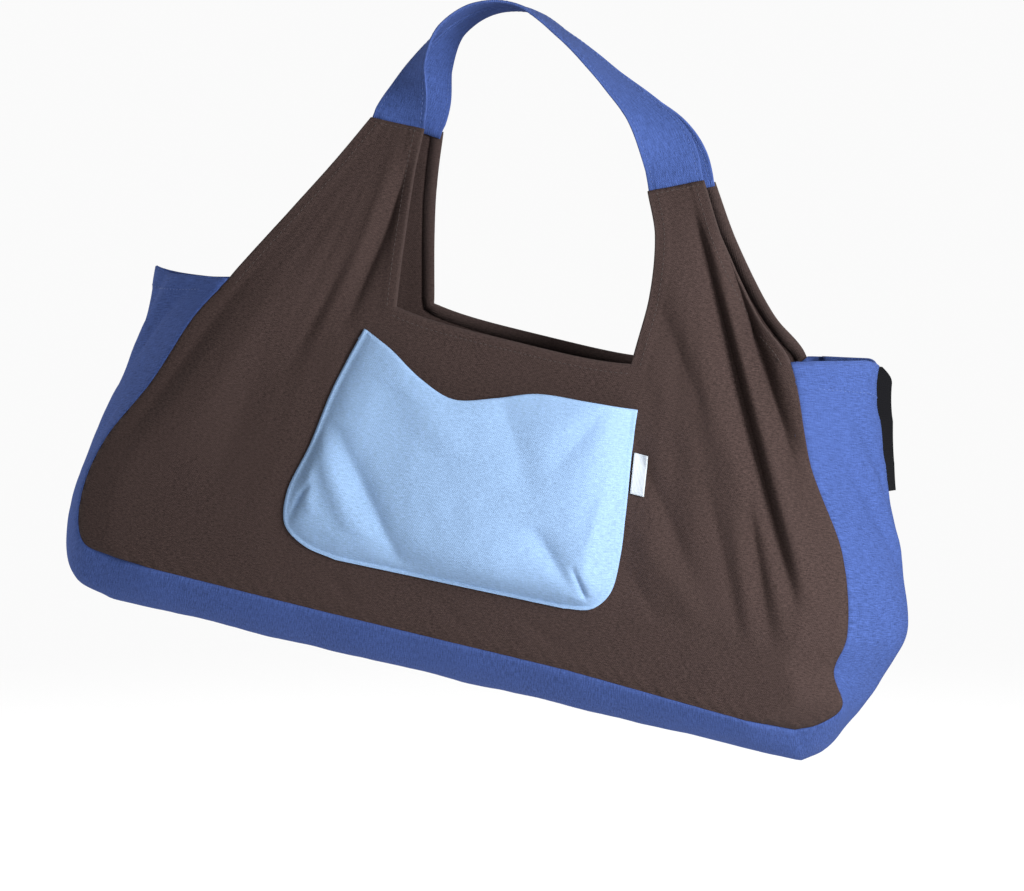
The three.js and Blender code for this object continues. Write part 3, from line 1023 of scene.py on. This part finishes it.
def gusset_spot(share, v):
    """One point of the gusset: folded at its ends, puckered at its seams, a little raised at its rims."""
    across = (1 - 2 * v) * SEAM_AT
    where = gusset_point(share, across)
    far = gusset_length(share)
    wide = across * CLOTH_HALF
    seam = (1 - abs(across)) * SEAM_FAR
    rim = min(share, 1 - share) * RIM_FAR
    folds = END_FOLDS + RIGHT_RIM_FOLDS if share > 0.5 else END_FOLDS
    swell = ripple("gusset", far, wide) * smooth(0, 20, seam)
    swell -= GUSSET_ROLL * bell(seam, ROLL_WIDTH)
    swell += fold_rise(folds, wide, where.z) * smooth(0, 14, seam)
    swell += pucker(GUSSET_PUCKER, far, seam)
    swell += HEM_LIFT * (1 - smooth(*RIM_BAND, rim))
    hemmed = share in (0.0, 1.0) and abs(across) < HEM_REACH
    edge = (HEM if hemmed else 0) + (SEAM if v in (0.0, 1.0) else 0)
    return Spot(where, (wide, far), WORN * bell(rim, 3), swell, edge)


gusset = cloth_piece("gusset_cloth", "blue_canvas", CLOTH, (*GUSSET_GRID, gusset_spot))

# %% [markdown]
# ## The pocket
# A light blue patch is sewn to the front panel on three sides, with a narrow flat flange outside the
# stitching and a dart at each lower corner, so that it stands out like a shallow box. Its lip sags.

# %% Pocket
POCKET = [
    Sides("base", (-100, 86), (92, 93)),
    Sides("corner", (-128, 91), (114, 98)),
    Sides("above corner", (-147, 104), (126, 113)),
    Sides("low side", (-151, 130), (128, 142)),
    Sides("side", (-141, 172), (123, 189)),
    Sides("high side", (-133, 222), (117, 229)),
    Sides("mouth", (-120, 273), (114, 260)),
]
POCKET_EDGE = {end: column(POCKET, end) for end in ENDS}
POCKET_GRID = (130, 100)
POCKET_HEIGHT = 170
POCKET_BULGE = 26
POCKET_ROUND = 3.2
POCKET_FLANGE = 3.5
POCKET_REACH = 44
POCKET_OFF = 0.9
LIP_BAND = (13, 17)
LIP_PULL = 0.4
LEFT_FULL = 0.5
FULL_GROWS = (-150, 40)
Lip = namedtuple("Lip", "share sag")
POCKET_LIP = [
    Lip(0, 0),
    Lip(0.12, 9),
    Lip(0.25, 24),
    Lip(0.38, 32),
    Lip(0.52, 22),
    Lip(0.66, 9),
    Lip(0.82, 4),
    Lip(1, 0),
]
POCKET_FOLDS = [
    Fold("left dart", (-131, 144), (-147, 96), 2, 2.2, -7),
    Fold("right dart", (95, 132), (117, 88), -2, 2.2, -7),
    Fold("left wall ridge", (-136, 206), (-126, 118), 5, 6, 3),
    Fold("left corner ridge", (-138, 190), (-86, 112), 0, 10, 4.5),
    Fold("left valley", (-124, 196), (-30, 82), 0, 11, -6),
    Fold("right dent", (56, 156), (104, 106), 0, 9, -5),
    Fold("right wall ridge", (112, 236), (104, 120), 0, 7, 3),
    Fold("lip dent, middle", (2, 254), (52, 176), 0, 18, -3.5),
    Fold("lip dent, right", (90, 258), (62, 196), 0, 13, -4),
    Fold("lip slope, left", (-84, 262), (-20, 190), 0, 16, 3),
    Fold("belly", (-30, 190), (20, 100), 0, 40, 2),
]


def pocket_flat(u, v):
    """A place on the pocket before it bulges."""
    place = curve_point(POCKET_EDGE["left"], v).lerp(curve_point(POCKET_EDGE["right"], v), u)
    place.z -= read_table(POCKET_LIP, "sag", "share", u) * v ** 4
    return place


SEWN_EDGE = line(lambda s: curve_point(POCKET_EDGE["left"], 1 - s), 240)
SEWN_EDGE += line(lambda s: POCKET_EDGE["left"][0].lerp(POCKET_EDGE["right"][0], s), 190)
SEWN_EDGE += line(lambda s: curve_point(POCKET_EDGE["right"], s), 240)
SEWN_TREE = near_tree(SEWN_EDGE)


def pocket_spot(u, v):
    """One point of the pocket: flat on its flange, then standing out, less so at its lip and its left."""
    flat = pocket_flat(u, v)
    rim = SEWN_TREE.find(flat)[2]
    lip = (1 - v) * POCKET_HEIGHT
    inside = max(0.0, min(1.0, (rim - POCKET_FLANGE) / POCKET_REACH))
    fullness = (1 - LIP_PULL * v ** 3) * (LEFT_FULL + (1 - LEFT_FULL) * smooth(*FULL_GROWS, flat.x))
    bulge = POCKET_BULGE * fullness * (1 - (1 - inside) ** POCKET_ROUND)
    folds = fold_rise(POCKET_FOLDS, flat.x, flat.z) + ripple("pocket", flat.x, flat.z)
    bulge += smooth(3, 16, rim) * folds
    flange = 1 - smooth(POCKET_FLANGE - 1, POCKET_FLANGE + 1.5, rim)
    bulge += 0.5 * flange * smooth(0, 2, rim) + HEM_LIFT * (1 - smooth(*LIP_BAND, lip))
    flat.y = front_face(flat.x, flat.z) - CLOTH - POCKET_OFF - bulge
    worn = 0.45 * bell(rim, 2) + WORN * bell(lip, 2)
    return Spot(flat, (flat.x, flat.z), worn, 0, HEM if v == 1.0 else 0)


bm = start_cloth()
grid_patch(bm, *POCKET_GRID, pocket_spot)
# This tree has the flat grid's normals, so the pocket's stitches lie level in the cloth and hardly show.
TREES["pocket_cloth"] = BVHTree.FromBMesh(bm)
fold_edges(bm)
pocket = finish_cloth(bm, "pocket_cloth", "sky_canvas", CLOTH)

# %% [markdown]
# ## The shoulder straps
# Each strap is a band of blue canvas, folded into four layers and stitched along both edges, from one arm
# tip over the crown to the other. It lies flat at the arms and turns on edge above. A strap is a closed
# tube round a flat profile, because its layers are sewn together and it has no inside.

# %% Straps
STRAP_WIDTH = 45
STRAP_THICK = 3
Route = namedtuple("Route", "x y z turn")
STRAP_ROUTE = [
    Route(-139.5, -33, 441.6, 0),
    Route(-137, -31.5, 462, 25),
    Route(-134, -28, 494, 62),
    Route(-121, -24.6, 526, 85),
    Route(-96, -24, 548, 90),
    Route(-62, -24, 555, 90),
    Route(-20, -25, 539, 84),
    Route(24, -26, 514, 74),
    Route(56, -28, 494, 58),
    Route(76, -31, 477, 32),
    Route(89.2, -32, 458.9, 10),
    Route(97.2, -33, 440.6, 0),
]
STRAP_MIDDLE = [Vector((row.x, row.y, row.z)) for row in STRAP_ROUTE]
STRAP_TURNS = [Vector((row.turn, 0, 0)) for row in STRAP_ROUTE]
STRAP_GRID = (170, 56)
STRAP_EDGE_STITCH = 18.5
STRAP_LAP = 4
STRAP_SEWN = 0.04
STRAP_SOFT = 0.05
STRAP_INSIDE = (STRAP_THICK + CLOTH) / 2 + 0.2
EDGE_POWER = 0.35
FACE_POWER = 0.5
GROOVE_DEPTH = 0.35
GROOVE_WIDTH = 1.6
NO_TURN = (200, 200)


@lru_cache(maxsize=None)
def strap_axes(u):
    """The middle of the strap at a share of its route, with its heading, width and thickness directions."""
    middle = curve_point(STRAP_MIDDLE, u)
    low, high = max(0, u - 0.002), min(1, u + 0.002)
    heading = (curve_point(STRAP_MIDDLE, high) - curve_point(STRAP_MIDDLE, low)).normalized()
    turn = math.radians(curve_point(STRAP_TURNS, u).x)
    outward = Vector((-heading.z, 0, heading.x)).normalized()
    width = outward * math.cos(turn) + Vector((0, 1, 0)) * math.sin(turn)
    return middle, heading, width, heading.cross(width).normalized()


@lru_cache(maxsize=None)
def strap_length(u):
    """How far along the strap a share of its route is, for the weave."""
    return run_length(lambda s: strap_axes(s)[0], u, 60)


def strap_profile(v):
    """The strap's section: a flat band with round edges and a shallow groove at each row of stitches."""
    angle = 2 * math.pi * v
    across = math.copysign(abs(math.cos(angle)) ** EDGE_POWER, math.cos(angle)) * STRAP_WIDTH / 2
    up = math.copysign(abs(math.sin(angle)) ** FACE_POWER, math.sin(angle)) * STRAP_THICK / 2
    groove = GROOVE_DEPTH * bell(abs(across) - STRAP_EDGE_STITCH, GROOVE_WIDTH)
    return across, up - math.copysign(groove, up)


def strap(side):
    """A strap over the arms of one side: a closed tube, its ends lapped inside the arm tips."""
    def place(u, v):
        middle, heading, width, out = strap_axes(u)
        across, up = strap_profile(v)
        far = strap_length(u)
        soft = ripple(side + " strap", far, across) * smooth(0, STRAP_SOFT, u) * smooth(0, STRAP_SOFT, 1 - u)
        where = middle + width * across
        if u in (0.0, 1.0):
            where += heading * STRAP_LAP * (2 * u - 1)
        lapped = 1 - smooth(0, STRAP_SEWN, min(u, 1 - u))
        inside_arm = STRAP_INSIDE - panel_depth(side, where.x, where.z, *NO_TURN)
        where.y += lapped * (inside_arm - where.y)
        where += out * (up + soft)
        where.y *= -OUT[side]
        worn = WORN * bell(STRAP_WIDTH / 2 - abs(across), 1.2)
        return Spot(where, (far, across), worn, 0, 0)

    return cloth_piece(side + "_strap_band", "blue_canvas", 0, (*STRAP_GRID, place))


front_strap = strap("front")
back_strap = strap("back")

# %% [markdown]
# ## The end strap and the label
# A strip of black webbing hangs from the rim of the right end, and a small plain white label is sewn in at
# the right edge of the pocket. Both are flat bands with a slight curl.

# %% End strap
END_WIDTH = 22
END_LENGTH = 103
END_THICK = 1.6
END_GRID = (12, 60)
END_TOP = 0.995
END_FOOT = 0.834
END_TURNS = (28, 8)
END_BEHIND = 13 / 75
END_CLEAR = 1.6
END_ROUND = 0.12
END_CUT = 0.75
END_FOLLOW = 0.85
FOLLOW_LESS = 0.6


def end_strap_spot(u, v):
    """Down from the rim beside the ridge and along its dent, its width turned out from straight back."""
    turn = math.radians(END_TURNS[0] + (END_TURNS[1] - END_TURNS[0]) * v)
    up = END_TOP + v * (END_FOOT - END_TOP)
    where = gusset_point(round(1 - (1 - up) * END_SHARE, 6), END_BEHIND)
    dent = fold_rise(RIGHT_RIM_FOLDS, END_BEHIND * CLOTH_HALF, where.z)
    where.x += END_FOLLOW * (1 - FOLLOW_LESS * u) * dent
    curl = 0.8 * u * u + 0.4 * v * v
    rounded = max(0.0, 1 - v / END_ROUND)
    reach = u * END_WIDTH * (1 - END_CUT * rounded ** 2)
    where += Vector((END_CLEAR + reach * math.sin(turn) + curl, reach * math.cos(turn), 0))
    return Spot(where, (reach, v * END_LENGTH), 0, 0, 0)


end_strap = cloth_piece("end_strap_band", "black_webbing", END_THICK, (*END_GRID, end_strap_spot))

# %% Label
LABEL_X = 121.4
LABEL_Z = 211
LABEL_WIDTH = 11.5
LABEL_HEIGHT = 32
LABEL_THICK = 0.9
LABEL_GRID = (10, 24)
LABEL_LEAN = 0.15
LABEL_OFF = (CLOTH + 1.0) / 2
LABEL_LIFT = 0.5
LABEL_CURL = 1.6


def label_spot(u, v):
    """A flat band beside the pocket's edge, its free side a little lifted."""
    z = LABEL_Z + (v - 0.5) * LABEL_HEIGHT
    x = LABEL_X - LABEL_LEAN * (z - LABEL_Z) + u * LABEL_WIDTH
    lift = LABEL_LIFT + LABEL_CURL * u * u
    where = Vector((x, front_face(x, z) - LABEL_OFF - lift, z))
    return Spot(where, (u * LABEL_WIDTH, v * LABEL_HEIGHT), 0, 0, 0)


label = cloth_piece("label_band", "white_label", LABEL_THICK, (*LABEL_GRID, label_spot))

# %% [markdown]
# ## Stitches
# Lockstitch shows as a row of short dashes. Each is a small capsule laid on the cloth along a sewing line.
# A texture could draw them, but small solids catch the light and stay sharp in close views.

# %% Sewing
STITCH_PITCH = 4.2
STITCH = Vector((1.5, 0.42, 0.32))
ON_CLOTH = CLOTH / 2 + 0.1
ON_STRAP = 0.1


def sew(bm, path, tree, lift):
    """Stitches at even steps along a path, each laid on the cloth that the tree holds."""
    far = STITCH_PITCH / 2
    for start, end in zip(path, path[1:]):
        step = end - start
        while far < step.length:
            spot, normal = tree.find_nearest(start + step * (far / step.length))[:2]
            heading = (step - normal * step.dot(normal)).normalized()
            side = normal.cross(heading)
            frame_at = Matrix((heading, side, normal)).transposed().to_4x4()
            scale = Matrix.Diagonal((*STITCH, 1))
            put = Matrix.Translation(spot + normal * lift) @ frame_at @ scale
            bmesh.ops.create_uvsphere(bm, u_segments=6, v_segments=4, radius=1, matrix=put)
            far += STITCH_PITCH
        far -= step.length


def stitches(name, slot, cloth, paths, lift=ON_CLOTH):
    """One object for the stitches of a piece, along paths on its cloth."""
    bm = bmesh.new()
    for path in paths:
        sew(bm, path, TREES[cloth], lift)
    bmesh.ops.transform(bm, matrix=HANG, verts=bm.verts)
    for face in bm.faces:
        face.smooth = True
    mesh = bpy.data.meshes.new(name)
    bm.to_mesh(mesh)
    mesh.materials.append(THREADS[slot])
    made = add_object(name, mesh)
    print(name, len(bm.faces), "faces")
    bm.free()
    return made


print("stitch pitch", STITCH_PITCH)


# %% Sewing lines
HEM_STITCH = 7
TIP_STITCH = 3
POCKET_STITCH = 3
LIP_STITCH = 13
ARM_SEWN = 0.995
RIM_SEWN = 0.85
RIM_INSET = 0.0135
ARM_HEMS = [
    ("left", outer_edge, -1),
    ("left", inner_edge, 1),
    ("right", inner_edge, -1),
    ("right", outer_edge, 1),
]


def inset(point, count, distance):
    """A run of points moved in to the left of its heading, in the panel's plane."""
    points = line(point, count)
    moved = []
    for k, spot in enumerate(points):
        heading = points[min(k + 1, count)] - points[max(k - 1, 0)]
        moved.append(spot + Vector((-heading.z, 0, heading.x)).normalized() * distance)
    return moved


def on_panel(side, path):
    """Gives a run of places on a panel their depth, a little outside its wall."""
    for spot in path:
        depth = panel_depth(side, spot.x, spot.z, *NO_TURN)
        spot.y = OUT[side] * (depth + 1)
    return path


def across_tip(end):
    """A share to a place across the tip of an arm, inside its hems."""
    return lambda s: inner_edge(end, 1).lerp(outer_edge(end, 1), 0.1 + 0.8 * s)


def panel_paths(side):
    """The rows of a panel: along its hems, and across the arm tips where a strap is sewn in."""
    paths = [inset(up_arm(end, edge, ARM_SEWN), 60, way * HEM_STITCH) for end, edge, way in ARM_HEMS]
    paths.append(inset(lambda s: flat_panel_point("middle", s, MOUTH_STEP), 60, -HEM_STITCH))
    paths.append(inset(across_tip("left"), 24, TIP_STITCH))
    paths.append(inset(across_tip("right"), 24, -TIP_STITCH))
    return [on_panel(side, path) for path in paths]


def rim_path(share):
    """A row across an end of the gusset, below its rim."""
    return line(lambda s: gusset_point(share, RIM_SEWN * (2 * s - 1)), 80)


def on_pocket(spot):
    """The place on the pocket straight behind a spot, or one before the panel where there is none."""
    hit = TREES["pocket_cloth"].ray_cast(Vector((spot.x, -300, spot.z)), Vector((0, 1, 0)))[0]
    return hit if hit else Vector((spot.x, front_face(spot.x, spot.z) - 20, spot.z))


def pocket_paths():
    """The rows of the pocket: inside its sewn edge, and along its lip."""
    edge = []
    for spot, ahead in zip(SEWN_EDGE, SEWN_EDGE[1:]):
        heading = ahead - spot
        if heading.length > 1e-6:
            edge.append(spot + Vector((-heading.z, 0, heading.x)).normalized() * POCKET_STITCH)
    lip = [pocket_flat(k / 120, 1 - LIP_STITCH / POCKET_HEIGHT) for k in range(2, 119)]
    return [[on_pocket(spot) for spot in path] for path in (edge, lip)]


def strap_paths(side):
    """The rows of a strap: along both of its edges, on both faces."""
    paths = []
    for across in (-STRAP_EDGE_STITCH, STRAP_EDGE_STITCH):
        for face in (-1, 1):
            path = []
            for k in range(3, 198):
                middle, heading, width, out = strap_axes(round(k / 200, 6))
                spot = middle + width * across + out * face * (STRAP_THICK / 2 + 0.2)
                spot.y *= -OUT[side]
                path.append(spot)
            paths.append(path)
    return paths


panel_stitches = {
    side: stitches(side + "_panel_stitches", "brown_canvas", side + "_panel_cloth", panel_paths(side))
    for side in OUT
}
rims = [rim_path(RIM_INSET), rim_path(1 - RIM_INSET)]
gusset_stitches = stitches("gusset_stitches", "blue_canvas", "gusset_cloth", rims)
pocket_stitches = stitches("pocket_stitches", "sky_canvas", "pocket_cloth", pocket_paths())
strap_stitches = {
    side: stitches(side + "_strap_stitches", "blue_canvas", side + "_strap_band", strap_paths(side), ON_STRAP)
    for side in OUT
}

# %% [markdown]
# ## What each piece stands for
# Every piece rides on the one body of the bag, and takes the place of its plain solid in pictures. All of
# them are cloth, and the table lists each as a sheet with the flat size it was cut to.

# %% Attach the pieces and hide the solids
Sheet = namedtuple("Sheet", "piece node flat area held rests_on sewing")
SHEETS = [
    Sheet(front_panel, "front_panel", (0.66, 0.43), 0.185, "hung", [front_strap], [panel_stitches["front"]]),
    Sheet(back_panel, "back_panel", (0.66, 0.43), 0.185, "hung", [back_strap], [panel_stitches["back"]]),
    Sheet(gusset, "gusset", (0.2, 1.3), 0.22, "hung", [front_panel, back_panel], [gusset_stitches]),
    Sheet(pocket, "front_pocket", (0.28, 0.19), 0.048, "hung", [front_panel], [pocket_stitches]),
    Sheet(front_strap, "strap_front", (0.045, 0.36), None, "stretched", [], [strap_stitches["front"]]),
    Sheet(back_strap, "strap_back", (0.045, 0.36), None, "stretched", [], [strap_stitches["back"]]),
    Sheet(end_strap, "end_strap", (0.022, 0.103), None, "hung", [gusset], []),
    Sheet(label, "label", (0.0115, 0.032), None, "laid", [front_panel], []),
]
for sheet in SHEETS:
    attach(sheet.piece, "root")
    for sewing in sheet.sewing:
        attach(sewing, "root")
    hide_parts(sheet.node)
print("sheets", [sheet.piece.name for sheet in SHEETS])
